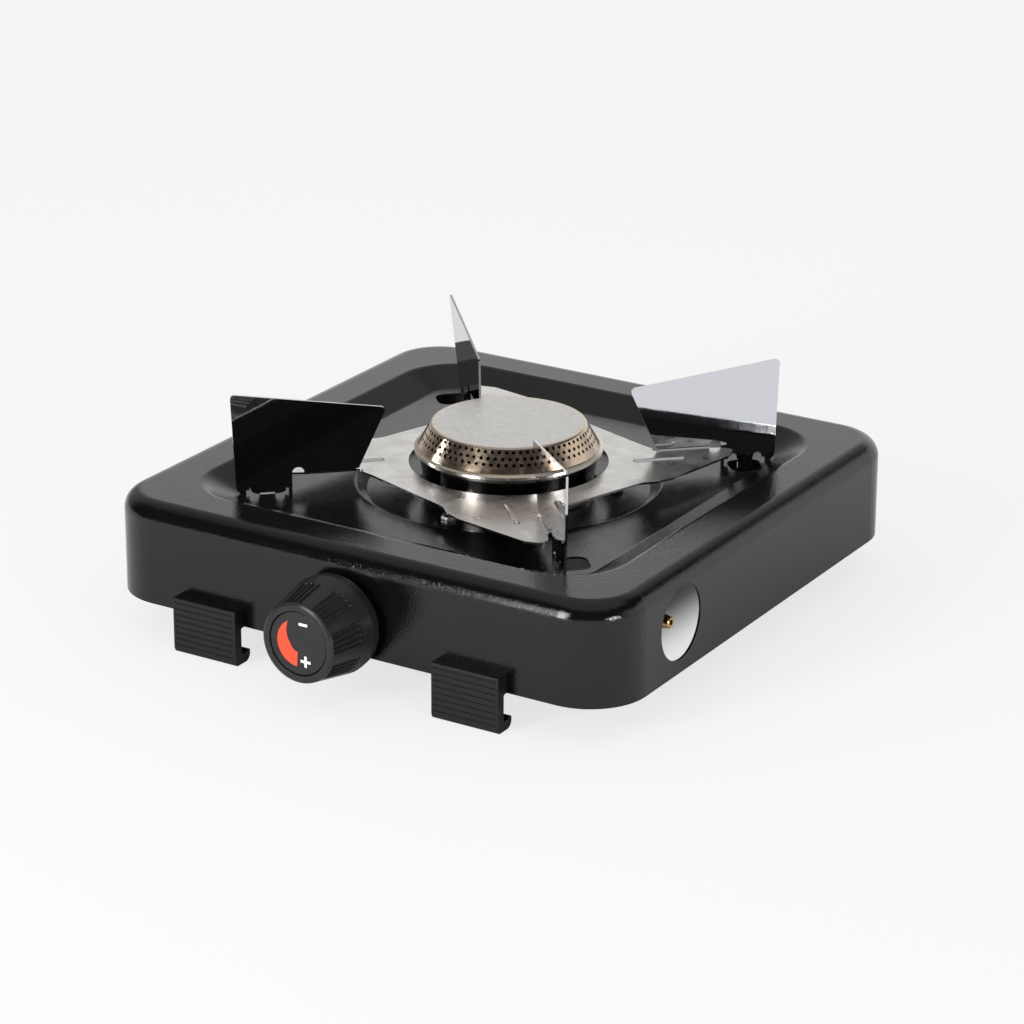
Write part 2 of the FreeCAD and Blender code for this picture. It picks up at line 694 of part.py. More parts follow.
def make_valve_spindle():
    """Spindle with a collar inside the tap, a tongue in the plug's slot and a flat inside the knob."""
    collar_y = inner_front() + COVER_THICK + RUNNING_FIT
    tip_y = KNOB_BASE_Y - SPINDLE_IN_KNOB
    stem = rod(SPINDLE_R, tap_point(tip_y), Y, collar_y - tip_y)
    collar = rod(TAP_BORE_R - 2 * RUNNING_FIT, tap_point(collar_y), Y, COLLAR_THICK)
    half = TONGUE_THICK / 2
    tongue = block(
        (TAP_X - half, TAP_X + half),
        (collar_y + COLLAR_THICK / 2, PLUG_FRONT_Y + TONGUE_IN_SLOT),
        (TAP_Z - TONGUE_HALF, TAP_Z + TONGUE_HALF),
    )
    flat = block(
        (TAP_X - 2 * SPINDLE_R, TAP_X + 2 * SPINDLE_R),
        (tip_y - 1, tip_y + FLAT_LENGTH),
        (TAP_Z + SPINDLE_R - FLAT_DEPTH, TAP_Z + 2 * SPINDLE_R),
    )
    return stem.fuse([collar, tongue]).removeSplitter().cut(flat)


def make_valve_screws():
    front = tap_point(-CASING_HALF)
    starts = [front + X * side * TAP_SCREW_SPREAD for side in (-1, 1)]
    return Part.makeCompound([screw(start, Y, TAP_SCREW_LENGTH) for start in starts])


def on_tap(shape):
    """Shape drawn upright, turned to face the front on the tap's axis."""
    shape.rotate(Vector(), X, 90)
    shape.translate(tap_point(KNOB_BASE_Y))
    return shape


def grip_grooves():
    """Cutters for the grip grooves that run along the knob's taper in groups."""
    lean = Vector(KNOB_FACE_R - KNOB_BASE_R, 0, KNOB_LENGTH - KNOB_BASE_BAND).normalize()
    start = Vector(KNOB_BASE_R + 0.1, 0, KNOB_BASE_BAND) + lean * GRIP_START
    grooves = []
    for group in range(GRIP_GROUPS):
        for groove in range(GRIP_GROOVES):
            in_group = (groove - (GRIP_GROOVES - 1) / 2) * GRIP_GROOVE_ANGLE
            cutter = rod(GRIP_GROOVE_R, start, lean, GRIP_LENGTH).fuse(Part.makeSphere(GRIP_GROOVE_R, start))
            cutter.rotate(Vector(), Z, 360 / GRIP_GROUPS * group + in_group + GRIP_TURN)
            grooves.append(cutter)
    return grooves


def make_knob():
    face = KNOB_LENGTH
    disc_floor = face - KNOB_DISC_DEPTH - KNOB_DISC_THICK
    roof = disc_floor - KNOB_WALL
    flat_y = SPINDLE_R - FLAT_DEPTH
    profile = [
        (KNOB_BASE_R - 0.6, 0, 0.5),
        (KNOB_BASE_R, KNOB_BASE_BAND, 3),
        (KNOB_FACE_R + 0.3, face - 0.6, 0.4),
        (KNOB_FACE_R - 0.8, face, 0.5),
        (KNOB_DISC_R + 0.4, face, 0.3),
        (KNOB_DISC_R, disc_floor, 0),
        (0, disc_floor, 0),
        (0, roof, 0),
        (KNOB_FACE_R - KNOB_WALL, roof, 1),
        (KNOB_BASE_R - KNOB_WALL, KNOB_BASE_BAND, 1),
        (KNOB_BASE_R - KNOB_WALL, 0, 0),
    ]
    hub_end = roof + KNOB_HUB_START / 2
    hub = rod(KNOB_HUB_R, Z * KNOB_HUB_START, Z, hub_end - KNOB_HUB_START)
    clip_half = CLIP_HALF + 0.1
    clip_gap = block((-clip_half, clip_half), (flat_y, flat_y + CLIP_THICK + 0.1), (0, hub_end - SHEET))
    bore = rod(SPINDLE_R, Vector(), Z, SPINDLE_IN_KNOB)
    flat_start = SPINDLE_IN_KNOB - FLAT_LENGTH
    flat = block((-KNOB_HUB_R, KNOB_HUB_R), (flat_y, KNOB_HUB_R), (flat_start, KNOB_LENGTH))
    knob = turned(profile).fuse(hub.cut(clip_gap)).cut(bore.cut(flat))
    return on_tap(knob.cut(grip_grooves()).removeSplitter())


def make_knob_disc():
    floor = KNOB_LENGTH - KNOB_DISC_DEPTH - KNOB_DISC_THICK
    radius = KNOB_DISC_R - 0.1
    top = floor + KNOB_DISC_THICK
    return on_tap(turned([(0, floor, 0), (radius, floor, 0), (radius, top, 0.3), (0, top, 0)]))


def make_knob_clip():
    """Leaf spring in the knob's hub that grips the flat of the spindle."""
    flat_y = SPINDLE_R - FLAT_DEPTH
    return on_tap(block((-CLIP_HALF, CLIP_HALF), (flat_y, flat_y + CLIP_THICK), CLIP_SPAN))


def make_gas_pipe():
    points = [
        Vector(INLET_END_X - TAP_NOSE, INLET_Y, TAP_Z),
        Vector(PIPE_BEND_X[0], INLET_Y, TAP_Z),
        Vector(PIPE_BEND_X[1], TAIL_Y, TAIL_Z),
        Vector(BRACKET_X - TAIL_START, TAIL_Y, TAIL_Z),
    ]
    return tube_along(points, PIPE_BEND, PIPE_R, PIPE_BORE_R)


def make_pipe_nuts():
    starts = [
        Vector(INLET_END_X, INLET_Y, TAP_Z),
        Vector(BRACKET_X - TAIL_START - PIPE_NUT_HEIGHT, TAIL_Y, TAIL_Z),
    ]
    nuts = []
    for start in starts:
        nut = hexagon(PIPE_NUT, start, X, PIPE_NUT_HEIGHT)
        nuts.append(nut.cut(rod(PIPE_R, start - X, X, 2 * PIPE_NUT_HEIGHT)))
    return Part.makeCompound(nuts)


def make_hose_tail():
    """Shank through the bracket, hexagon and spigot with two barbs, drilled through."""
    start = BRACKET_X - TAIL_START
    reach = TAIL_TIP_X - start
    shank_end = TAIL_START + BRACKET_THICK
    profile = [(0, 0, 0), (TAIL_SHANK_R + 1, 0, 0), (TAIL_SHANK_R + 1, 3, 0), (TAIL_SHANK_R, 3, 0),
               (TAIL_SHANK_R, shank_end, 0), (TAIL_R, shank_end, 0)]
    for barb in TAIL_BARBS:
        land_end = barb + TAIL_BARB_LAND
        profile += [(TAIL_R, barb - 1, 0), (TAIL_BARB_R, barb, 0), (TAIL_BARB_R, land_end, 0)]
        profile += [(TAIL_R, land_end + 5, 0)]
    profile += [(TAIL_R - 0.4, reach, 0), (0, reach, 0)]
    tail = along(turned(profile), Vector(start, TAIL_Y, TAIL_Z), X)
    collar = hexagon(PIPE_NUT, Vector(BRACKET_X + BRACKET_THICK, TAIL_Y, TAIL_Z), X, TAIL_HEX_HEIGHT)
    bore = rod(TAIL_BORE_R, Vector(start - 1, TAIL_Y, TAIL_Z), X, reach + 2)
    return tail.fuse(collar).removeSplitter().cut(bore)


def make_hose_tail_nut():
    start = Vector(BRACKET_X - TAIL_NUT_HEIGHT, TAIL_Y, TAIL_Z)
    nut = hexagon(TAIL_NUT, start, X, TAIL_NUT_HEIGHT)
    return nut.cut(rod(TAIL_SHANK_R, start - X, X, 2 * TAIL_NUT_HEIGHT))


def make_hose_tail_bracket():
    """Plate welded under the recess slope by a bent flange, with a hole that carries the hose tail."""
    rise = (CASING_HEIGHT - RECESS_FLOOR_Z) / RECESS_SLOPE
    widen = SHEET * math.tan(math.atan(rise) / 2)
    near = BRACKET_X
    far = BRACKET_X + BRACKET_FLANGE
    corners = []
    for x, drop in ((near, 0), (far, 0), (far, BRACKET_THICK), (near + BRACKET_THICK, BRACKET_THICK)):
        slope_x = x - (RECESS_HALF - RECESS_SLOPE + widen)
        corners.append((x, RECESS_FLOOR_Z - SHEET + slope_x * rise - drop, 0))
    low = TAIL_Z - BRACKET_HALF
    corners += [(near + BRACKET_THICK, low, 0), (near, low, 0)]
    bracket = Part.Face(outline(corners)).extrude(Z * 2 * BRACKET_HALF)
    bracket.rotate(Vector(), X, 90)
    bracket.translate(Y * (TAIL_Y + BRACKET_HALF))
    return bracket.cut(rod(TAIL_SHANK_R, Vector(BRACKET_X - 1, TAIL_Y, TAIL_Z), X, 2 * BRACKET_THICK))


def foot_places():
    """(x, facing) of each foot, with facing -1 at the front skirt and 1 at the rear one."""
    left = TAP_X - FOOT_X
    right = TAP_X + FOOT_X
    return [(left, -1), (right, -1), (left, 1), (right, 1)]


def make_foot(x, facing):
    """Clip-on foot: a block on the skirt, a ribbed plate down from it, and a hook under the skirt's edge."""
    low = -SHIFT_UP
    throat = FOOT_DEPTH - FOOT_PLATE
    profile = [
        (0, FOOT_TOP, 0),
        (0, 0, 0),
        (throat, 0, 1),
        (throat, FOOT_HOOK_TOP - 1, 1),
        (-FOOT_HOOK_BACK + 3, FOOT_HOOK_TOP - 1, 0.8),
        (-FOOT_HOOK_BACK + 2, FOOT_HOOK_TOP, 0.4),
        (-FOOT_HOOK_BACK, FOOT_HOOK_TOP, 1),
        (-FOOT_HOOK_BACK, low, 3.5),
        (throat, low, 0),
        (FOOT_DEPTH - 1, low, 1),
        (FOOT_DEPTH, low + 2, 1),
        (FOOT_DEPTH, FOOT_TOP, 0.8),
    ]
    foot = Part.Face(outline(profile)).extrude(Z * FOOT_WIDTH)
    depth = (FOOT_DEPTH - FOOT_RIB_DEPTH, FOOT_DEPTH + 1)
    width = (FOOT_RIB_MARGIN, FOOT_WIDTH - FOOT_RIB_MARGIN)
    grooves = []
    for rib in range(FOOT_RIBS):
        z = FOOT_TOP - FOOT_RIB_PITCH * (rib + 0.7)
        grooves.append(block(depth, (z - FOOT_RIB_HALF, z + FOOT_RIB_HALF), width))
    foot = foot.cut(grooves)
    foot.rotate(Vector(), Vector(1, 1, 1), 120)
    foot.translate(Vector(-FOOT_WIDTH / 2, CASING_HALF, 0))
    foot = foot.cut(rod(SCREW_R, Vector(0, CASING_HALF - SHEET, FOOT_SCREW_Z), Y, FOOT_SCREW_LENGTH + 0.5))
    if facing < 0:
        foot.rotate(Vector(), Z, 180)
    foot.translate(X * x)
    return foot


def make_foot_screws():
    screws = []
    for x, facing in foot_places():
        start = Vector(x, facing * (CASING_HALF - SHEET), FOOT_SCREW_Z)
        screws.append(screw(start, Y * facing, FOOT_SCREW_LENGTH))
    return Part.makeCompound(screws)


def export(name, shape):
    """Moves a finished piece into the hob's own frame and writes it."""
    shape.translate(Vector(0, SHIFT_BACK, SHIFT_UP))
    shape.exportStep("parts/" + name + ".step")


PIECES = {
    "casing": make_casing,
    "pan_support": make_pan_support,
    "burner_cap": make_burner_cap,
    "burner_bowl": make_burner_bowl,
    "burner_screws": make_burner_screws,
    "burner_nuts": make_burner_nuts,
    "mixing_tube": make_mixing_tube,
    "burner_bracket": make_burner_bracket,
    "valve_cover": make_valve_cover,
    "valve_body": make_valve_body,
    "valve_plug": make_valve_plug,
    "plug_spring": make_plug_spring,
    "valve_spindle": make_valve_spindle,
    "valve_screws": make_valve_screws,
    "jet": make_jet,
    "knob": make_knob,
    "knob_disc": make_knob_disc,
    "knob_clip": make_knob_clip,
    "gas_pipe": make_gas_pipe,
    "pipe_nuts": make_pipe_nuts,
    "hose_tail": make_hose_tail,
    "hose_tail_nut": make_hose_tail_nut,
    "hose_tail_bracket": make_hose_tail_bracket,
    "foot_screws": make_foot_screws,
}
FOOT_NAMES = ("foot_front_left", "foot_front_right", "foot_rear_left", "foot_rear_right")

os.makedirs("parts", exist_ok=True)
for piece_name, make in PIECES.items():
    export(piece_name, make())
for foot_name, (foot_x, foot_facing) in zip(FOOT_NAMES, foot_places()):
    export(foot_name, make_foot(foot_x, foot_facing))
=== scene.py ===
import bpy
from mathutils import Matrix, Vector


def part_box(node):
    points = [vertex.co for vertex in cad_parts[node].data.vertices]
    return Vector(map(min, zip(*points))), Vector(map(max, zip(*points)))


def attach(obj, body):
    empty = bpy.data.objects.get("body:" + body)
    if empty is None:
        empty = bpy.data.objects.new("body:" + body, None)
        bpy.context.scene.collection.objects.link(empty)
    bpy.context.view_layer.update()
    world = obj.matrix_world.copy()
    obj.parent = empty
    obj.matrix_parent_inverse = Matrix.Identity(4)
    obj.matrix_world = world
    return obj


bl_info = {
    "name": "Single Burner Gas Hob",
    "version": (1, 0, 0),
    "blender": (4, 5, 0),
    "location": "3D View > Sidebar > Gas Hob",
    "description": "Dresses a table-top gas hob: enamel, bright sheet, burner, knob, feet and brass",
    "category": "Add Mesh",
}

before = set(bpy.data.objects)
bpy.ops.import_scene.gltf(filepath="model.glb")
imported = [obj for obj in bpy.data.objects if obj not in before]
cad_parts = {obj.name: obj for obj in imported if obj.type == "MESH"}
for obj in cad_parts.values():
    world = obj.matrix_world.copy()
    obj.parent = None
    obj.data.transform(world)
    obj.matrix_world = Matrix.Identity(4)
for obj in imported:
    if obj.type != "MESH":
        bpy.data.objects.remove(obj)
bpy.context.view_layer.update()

import math

import bmesh
import bpy
from mathutils import Matrix, Vector

MM = 0.001
CASING_LOW, CASING_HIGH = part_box("casing")
CASING_MIDDLE = (CASING_LOW + CASING_HIGH) / 2
CAP_LOW, CAP_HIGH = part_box("burner_cap")
BURNER_AXIS = (CAP_LOW + CAP_HIGH) / 2
DISC_LOW, DISC_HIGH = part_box("knob_disc")
KNOB_AXIS = (DISC_LOW + DISC_HIGH) / 2

# The stage: lengths in metres, directions from the middle of the hob.
SENSOR_WIDTH_MM = 36
VIEW_REACH = 50
FLOOR_REACH = 8.0
FLOOR_GLOW = 0.74
FLOOR_MIRRORED = 0.5
LAMP_DISTANCE = 1.6
FRONT_LAMP = {"direction": Vector((-0.24, -0.94, 0.25)), "size": (0.36, 0.95)}
SIDE_LAMP = {"direction": Vector((0.93, -0.35, 0.13)), "size": (0.36, 0.24)}

# What mirrors see of the surroundings.
DARK_FRONT = 0.04
PALE_WING = 0.38
LEFT_GLOW = 0.36
CEILING_GLOW = 0.5

# The marks on the disc, in millimetres right and up from the knob's axis.
MARK_STANDS_IN = 0.02
MARK_DEPTH = 0.1
LESS_CENTRE = (2.7, 9.25)
LESS_SIZE = (4.5, 1.3)
MORE_CENTRE = (3.75, -7.9)
MORE_SIZE = (5.2, 1.3)
SWEEP_RADII = (10.9, 4.0)
SWEEP_DEGREES = (119, 205, 266)

CONE_TOP_SHARE = 0.82


class Tree:
    """A node tree being put together."""

    def __init__(self, owner):
        owner.use_nodes = True
        self.nodes = owner.node_tree.nodes
        self.links = owner.node_tree.links
        self.nodes.clear()

    def add(self, kind, *values, **settings):
        """Node of a kind, with settings and values for its first sockets; gives its first output."""
        node = self.nodes.new("ShaderNode" + kind)
        for name, value in settings.items():
            setattr(node, name, value)
        for socket, value in zip(node.inputs, values):
            self.feed(socket, value)
        return node.outputs[0] if node.outputs else node

    def feed(self, socket, value):
        if isinstance(value, bpy.types.NodeSocket):
            self.links.new(value, socket)
        else:
            socket.default_value = value

    def math(self, operation, first, second=0.0):
        return self.add("Math", first, second, operation=operation)

    def spread(self, value, low, high, to_low=0.0, to_high=1.0, smooth=False):
        """Value taken from one range to another and held at its ends."""
        way = "SMOOTHSTEP" if smooth else "LINEAR"
        return self.add("MapRange", value, low, high, to_low, to_high, interpolation_type=way)

    def total(self, *values):
        result = values[0]
        for value in values[1:]:
            result = self.math("ADD", result, value)
        return result

    def product(self, *values):
        result = values[0]
        for value in values[1:]:
            result = self.math("MULTIPLY", result, value)
        return result

    def mix(self, share, first, second):
        """Colour between two colours."""
        node = self.nodes.new("ShaderNodeMix")
        node.data_type = "RGBA"
        self.feed(node.inputs["Factor"], share)
        colours = [socket for socket in node.inputs if socket.type == "RGBA"]
        for socket, colour in zip(colours, (first, second)):
            self.feed(socket, (*colour, 1.0) if isinstance(colour, tuple) else colour)
        return next(socket for socket in node.outputs if socket.type == "RGBA")

    def split(self, vector):
        """The three coordinates of a vector."""
        node = self.nodes.new("ShaderNodeSeparateXYZ")
        self.feed(node.inputs[0], vector)
        return node.outputs["X"], node.outputs["Y"], node.outputs["Z"]


class Finish(Tree):
    """A material being put together: its nodes, its surface shader and its sense of place on the piece."""

    def __init__(self, name, **values):
        self.material = bpy.data.materials.new(name)
        super().__init__(self.material)
        self.surface = self.nodes.new("ShaderNodeBsdfPrincipled")
        self.add("OutputMaterial", self.surface.outputs[0])
        for socket, value in values.items():
            self.surface.inputs[socket].default_value = value
        self.place = self.nodes.new("ShaderNodeTexCoord").outputs["Object"]

    def noise(self, feature, detail=2.0, roughness=0.5, stretch=None, value=None):
        """Noise whose features are about this many metres across, in space or along one value."""
        node = self.nodes.new("ShaderNodeTexNoise")
        if value is not None:
            node.noise_dimensions = "1D"
            self.links.new(value, node.inputs["W"])
        else:
            place = self.place
            if stretch:
                mapping = self.nodes.new("ShaderNodeMapping")
                mapping.inputs["Scale"].default_value = stretch
                self.links.new(place, mapping.inputs["Vector"])
                place = mapping.outputs[0]
            self.links.new(place, node.inputs["Vector"])
        node.inputs["Scale"].default_value = 1 / feature
        node.inputs["Detail"].default_value = detail
        node.inputs["Roughness"].default_value = roughness
        return node.outputs["Fac"]

    def level(self):
        """From 0 on upright faces to 1 on level ones."""
        normal = self.nodes.new("ShaderNodeNewGeometry").outputs["Normal"]
        return self.spread(self.math("ABSOLUTE", self.split(normal)[2]), 0.6, 0.9)

    def radius(self, centre):
        """Distance from an upright axis through the centre."""
        x, y, _ = self.split(self.place)
        x = self.math("SUBTRACT", x, centre[0])
        y = self.math("SUBTRACT", y, centre[1])
        return self.math("SQRT", self.total(self.product(x, x), self.product(y, y)))

    def colour(self, value):
        self.feed(self.surface.inputs["Base Color"], value)

    def roughness(self, value):
        self.feed(self.surface.inputs["Roughness"], value)

    def bump(self, height, depth, strength=1.0):
        """Relief of this depth in metres, on top of any that is there."""
        node = self.nodes.new("ShaderNodeBump")
        node.inputs["Strength"].default_value = strength
        node.inputs["Distance"].default_value = depth
        self.links.new(height, node.inputs["Height"])
        socket = self.surface.inputs["Normal"]
        if socket.is_linked:
            self.links.new(socket.links[0].from_socket, node.inputs["Normal"])
        self.links.new(node.outputs[0], socket)


def shade(colour, factor):
    return tuple(channel * factor for channel in colour)


def dress(names, material):
    """Gives CAD nodes a finish."""
    for name in names:
        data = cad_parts[name].data
        data.materials.clear()
        data.materials.append(material)


def enamel(colour, peel):
    """Black enamel: deep gloss over fine specks and the slow waves of pressed sheet."""
    finish = Finish("black_enamel", IOR=1.48)
    cloud = finish.noise(0.03, 3)
    finish.colour(finish.mix(cloud, shade(colour, 0.7), shade(colour, 1.4)))
    finish.roughness(finish.spread(finish.noise(0.012, 4), 0.3, 0.7, 0.04, 0.09))
    finish.bump(finish.noise(peel, 1.0), 0.00008, 0.9)
    finish.bump(finish.noise(peel * 0.5, 2.0), 0.00005, 0.9)
    finish.bump(finish.noise(0.02, 1.0), 0.00012, 0.5)
    return finish.material


def bright_plate(fins, plate):
    """Plated sheet: crisp and mirror-like on the fins, hazy and handled on the level plate, whose paler,
    warmer colour is a painted reflection.
    """
    finish = Finish("bright_plate", Metallic=1.0)
    smudge = finish.noise(0.011, 4, 0.62)
    streak = finish.noise(0.0016, 3, 0.6, (1, 1, 0.12))
    level = finish.level()
    # Painted reflection: the level faces of the one plated sheet get a paler, warmer colour than the upright
    # fins.
    colour = finish.mix(level, fins, finish.mix(smudge, shade(plate, 0.85), plate))
    finish.colour(colour)
    haze = finish.spread(smudge, 0.35, 0.7, 0.55, 1.0)
    fin_rough = finish.spread(streak, 0.3, 0.7, 0.015, 0.05)
    finish.roughness(finish.total(fin_rough, finish.product(level, haze, 0.38)))
    finish.bump(finish.noise(0.018, 1.0), 0.00005, 0.4)
    finish.bump(finish.noise(0.0012, 2.0), 0.000003, 0.5)
    return finish.material


def cap_metal(top, cone, top_radius, brim_radius):
    """Satin turned sheet, paler in the middle and browned where the flame licks it, with a painted highlight
    as a pale ring along the brim.
    """
    finish = Finish("cap_metal", Metallic=1.0)
    radius = finish.radius(BURNER_AXIS)
    patch = finish.noise(0.008, 4, 0.6)
    heat = finish.spread(radius, top_radius * 0.9, top_radius * 1.05, smooth=True)
    heat = finish.product(heat, finish.spread(patch, 0.25, 0.65, 0.7, 1.0))
    # Painted highlight: a thin ring at the brim keeps most of the pale top colour instead of the browned one.
    painted_brim_highlight = finish.spread(radius, brim_radius * 0.965, brim_radius * 0.985, 1.0, 0.35)
    finish.colour(finish.mix(finish.product(heat, painted_brim_highlight), finish.mix(patch, shade(top, 0.93), top), cone))
    rough = finish.spread(finish.noise(0.003, 5, 0.6), 0.3, 0.7, 0.26, 0.38)
    finish.roughness(finish.math("SUBTRACT", rough, finish.product(heat, 0.14)))
    finish.bump(finish.noise(0.0009, 2.0, value=radius), 0.000004, 0.5)
    finish.bump(finish.noise(0.0007, 3.0), 0.00001, 0.4)
    return finish.material


def plain_metal(name, colour, rough, grain=0.004, tint=0.8):
    """Drawn, turned or plated metal with faint clouds and fine grain."""
    finish = Finish(name, Metallic=1.0)
    cloud = finish.noise(grain, 4, 0.6)
    finish.colour(finish.mix(cloud, shade(colour, tint), colour))
    finish.roughness(finish.spread(cloud, 0.3, 0.7, rough * 0.7, rough * 1.3))
    finish.bump(finish.noise(grain * 0.12, 3.0), 0.00001, 0.5)
    return finish.material


def moulded_plastic(name, colour, rough, grain=0.0006, relief=0.00003):
    """Moulded plastic with a fine spark-eroded grain and faintly rubbed patches."""
    finish = Finish(name, IOR=1.4)
    cloud = finish.noise(0.01, 4, 0.6)
    finish.colour(finish.mix(cloud, shade(colour, 0.75), shade(colour, 1.3)))
    finish.roughness(finish.spread(finish.noise(0.004, 4), 0.3, 0.7, rough * 0.8, rough * 1.15))
    finish.bump(finish.noise(grain, 2.0), relief, 0.7)
    return finish.material


def ink(name, colour):
    """Printed ink, a little uneven where it is thin."""
    finish = Finish(name, IOR=1.4)
    finish.colour(finish.mix(finish.noise(0.0012, 3, 0.6), shade(colour, 0.86), colour))
    finish.roughness(finish.spread(finish.noise(0.0008, 3), 0.3, 0.7, 0.4, 0.55))
    finish.bump(finish.noise(0.0003, 2.0), 0.000006, 0.5)
    return finish.material


def mark(name, outline, material):
    """Printed mark on the disc: a closed outline in millimetres right and up from the knob's axis."""
    face_y = DISC_LOW.y + MARK_STANDS_IN * MM
    mesh = bpy.data.meshes.new(name)
    shape = bmesh.new()
    corners = []
    for x, z in outline:
        corners.append(shape.verts.new((KNOB_AXIS.x + x * MM, face_y, KNOB_AXIS.z + z * MM)))
    face = shape.faces.new(corners)
    grown = bmesh.ops.extrude_face_region(shape, geom=[face])
    front = [item for item in grown["geom"] if isinstance(item, bmesh.types.BMVert)]
    bmesh.ops.translate(shape, verts=front, vec=(0, -MARK_DEPTH * MM, 0))
    bmesh.ops.recalc_face_normals(shape, faces=shape.faces)
    shape.to_mesh(mesh)
    shape.free()
    mesh.materials.append(material)
    piece = bpy.data.objects.new(name, mesh)
    bpy.context.scene.collection.objects.link(piece)
    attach(piece, "knob")


def bar(centre, width, height):
    """Outline of an upright rectangle about its centre."""
    corners = ((-1, -1), (1, -1), (1, 1), (-1, 1))
    return [(centre[0] + x * width / 2, centre[1] + z * height / 2) for x, z in corners]


def plus(centre, size, thick):
    """Outline of a plus about its centre."""
    near, far = thick / 2, size / 2
    corner = ((far, -near), (far, near), (near, near), (near, far), (-near, far), (-near, near))
    corner += tuple((-x, -z) for x, z in corner)
    return [(centre[0] + x, centre[1] + z) for x, z in corner]


def sweep(outer, inner, start, broad, end, steps=48):
    """Outline of a band round the axis, which widens inwards from a point at start to full width at broad."""
    outside = []
    inside = []
    for step in range(steps + 1):
        angle = start + (end - start) * step / steps
        taper = max(0.0, 1 - (angle - start) / (broad - start))
        for radius, edge in ((outer, outside), (inner + (outer - inner) * taper ** 2, inside)):
            edge.append((radius * math.cos(angle), radius * math.sin(angle)))
    return outside + inside[:0:-1]


class StageSettings(bpy.types.PropertyGroup):
    """The view, the floor and the lamps."""

    azimuth: bpy.props.FloatProperty(
        name="Azimuth", description="Side from which the camera looks, from the front towards the right",
        default=math.radians(31.557), subtype="ANGLE")
    elevation: bpy.props.FloatProperty(
        name="Elevation", description="Height from which the camera looks", default=math.radians(21.092),
        subtype="ANGLE")
    roll: bpy.props.FloatProperty(
        name="Roll", description="Tilt of the picture", default=math.radians(-0.187), subtype="ANGLE")
    distance: bpy.props.FloatProperty(
        name="Distance", description="From the camera to the point it looks at", default=1.7278,
        unit="LENGTH")
    target: bpy.props.FloatVectorProperty(
        name="Target", description="Point the camera looks at, from the middle of the casing's lower edge",
        default=(-0.001638, 0.005752, 0.020019), subtype="TRANSLATION")
    lens: bpy.props.FloatProperty(
        name="Lens", description="Focal length on a 36 mm sensor, in millimetres", default=129.6)
    floor: bpy.props.FloatVectorProperty(
        name="Floor", description="Colour of the floor", default=(0.9, 0.9, 0.9), subtype="COLOR")
    backdrop: bpy.props.FloatProperty(
        name="Backdrop", description="Brightness of the backdrop as it is seen", default=0.945, min=0)
    sky: bpy.props.FloatProperty(
        name="Surroundings", description="Brightness of the soft light from all round", default=0.68, min=0)
    front_lamp: bpy.props.FloatProperty(
        name="Front lamp", description="Power of the softbox in front, in watts", default=18.0, min=0)
    side_lamp: bpy.props.FloatProperty(
        name="Side lamp", description="Power of the softbox at the right, in watts", default=6.5, min=0)


class EnamelSettings(bpy.types.PropertyGroup):
    """The casing's finish."""

    colour: bpy.props.FloatVectorProperty(
        name="Colour", description="Colour of the enamel", default=(0.003, 0.0029, 0.003), subtype="COLOR")
    peel: bpy.props.FloatProperty(
        name="Orange peel", description="Size of the ripples in the enamel", default=0.0011, unit="LENGTH")


class MetalSettings(bpy.types.PropertyGroup):
    """The bare and plated metals."""

    fins: bpy.props.FloatVectorProperty(
        name="Fins", description="Colour of the pan support's fins", default=(0.67, 0.68, 0.72),
        subtype="COLOR")
    # Paler and warmer than the fins although it is the same plated sheet: painted reflection on the level
    # faces.
    plate: bpy.props.FloatVectorProperty(
        name="Plate", description="Colour of the pan support's level plate", default=(0.82, 0.8, 0.77),
        subtype="COLOR")
    cap_top: bpy.props.FloatVectorProperty(
        name="Cap", description="Colour of the burner cap's top", default=(0.72, 0.7, 0.665), subtype="COLOR")
    cap_cone: bpy.props.FloatVectorProperty(
        name="Cap, heated", description="Colour of the burner cap near the flame", default=(0.58, 0.44, 0.31),
        subtype="COLOR")
    bowl: bpy.props.FloatVectorProperty(
        name="Bowl", description="Colour of the burner bowl and mixing tube", default=(0.24, 0.225, 0.215),
        subtype="COLOR")
    brass: bpy.props.FloatVectorProperty(
        name="Brass", description="Colour of the tap and the hose tail", default=(0.71, 0.47, 0.2),
        subtype="COLOR")
    zinc: bpy.props.FloatVectorProperty(
        name="Zinc", description="Colour of screws and brackets", default=(0.58, 0.58, 0.58), subtype="COLOR")
    pipe: bpy.props.FloatVectorProperty(
        name="Pipe", description="Colour of the gas pipe", default=(0.66, 0.66, 0.67), subtype="COLOR")


class PlasticSettings(bpy.types.PropertyGroup):
    """The knob, its marks and the feet."""

    knob: bpy.props.FloatVectorProperty(
        name="Knob", description="Colour of the knob", default=(0.017, 0.0165, 0.0165), subtype="COLOR")
    disc: bpy.props.FloatVectorProperty(
        name="Disc", description="Colour of the disc in the knob's face", default=(0.017, 0.017, 0.018),
        subtype="COLOR")
    foot: bpy.props.FloatVectorProperty(
        name="Feet", description="Colour of the feet", default=(0.004, 0.004, 0.0042), subtype="COLOR")
    white: bpy.props.FloatVectorProperty(
        name="White mark", description="Ink of the minus and plus", default=(0.86, 0.86, 0.86),
        subtype="COLOR")
    red: bpy.props.FloatVectorProperty(
        name="Red mark", description="Ink of the sweep", default=(0.88, 0.075, 0.03), subtype="COLOR")


